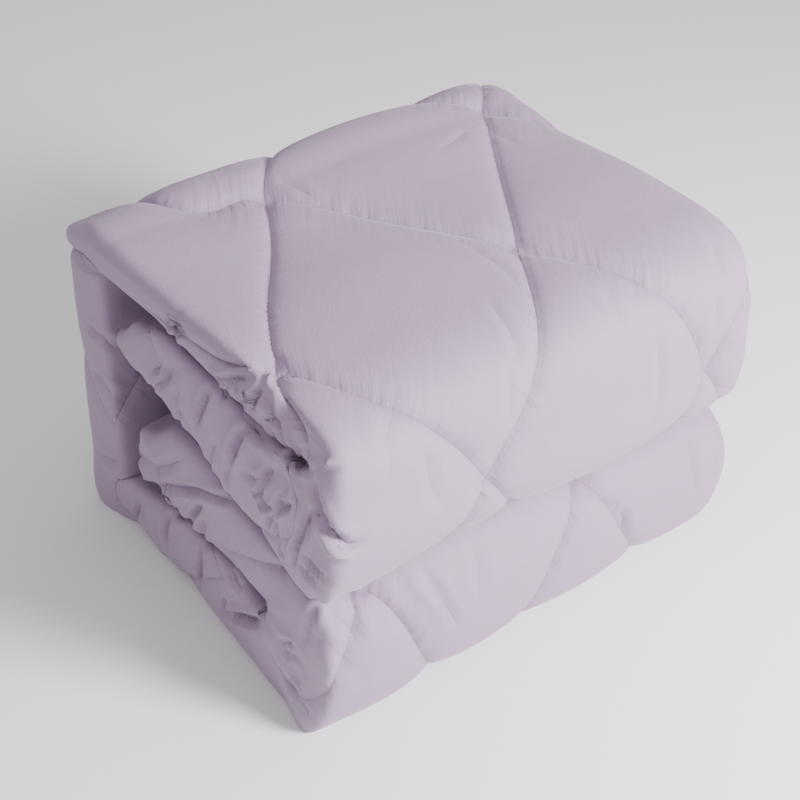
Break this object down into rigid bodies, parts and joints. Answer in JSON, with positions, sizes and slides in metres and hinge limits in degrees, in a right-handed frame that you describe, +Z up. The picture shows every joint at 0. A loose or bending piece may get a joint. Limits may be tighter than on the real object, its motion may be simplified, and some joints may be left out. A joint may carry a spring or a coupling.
{
  "type": "folded quilt",
  "caption": "Thick diamond-quilted quilt folded into a block, with two big soft folds at the front and a spine at the back.",
  "frame": {"origin": "on the floor under the middle of the block's bounding box", "axes": "+X along the front folds, towards the block's right end; -Y is the front with the two folds, +Y the spine; +Z up"},
  "size_m": [0.5966, 0.4952, 0.4137],
  "materials": {
    "cotton": "smooth plain-woven mauve cotton, softly sheened"
  },
  "bodies": {
    "root": {"quilt": "cotton"}
  },
  "joints": []
}
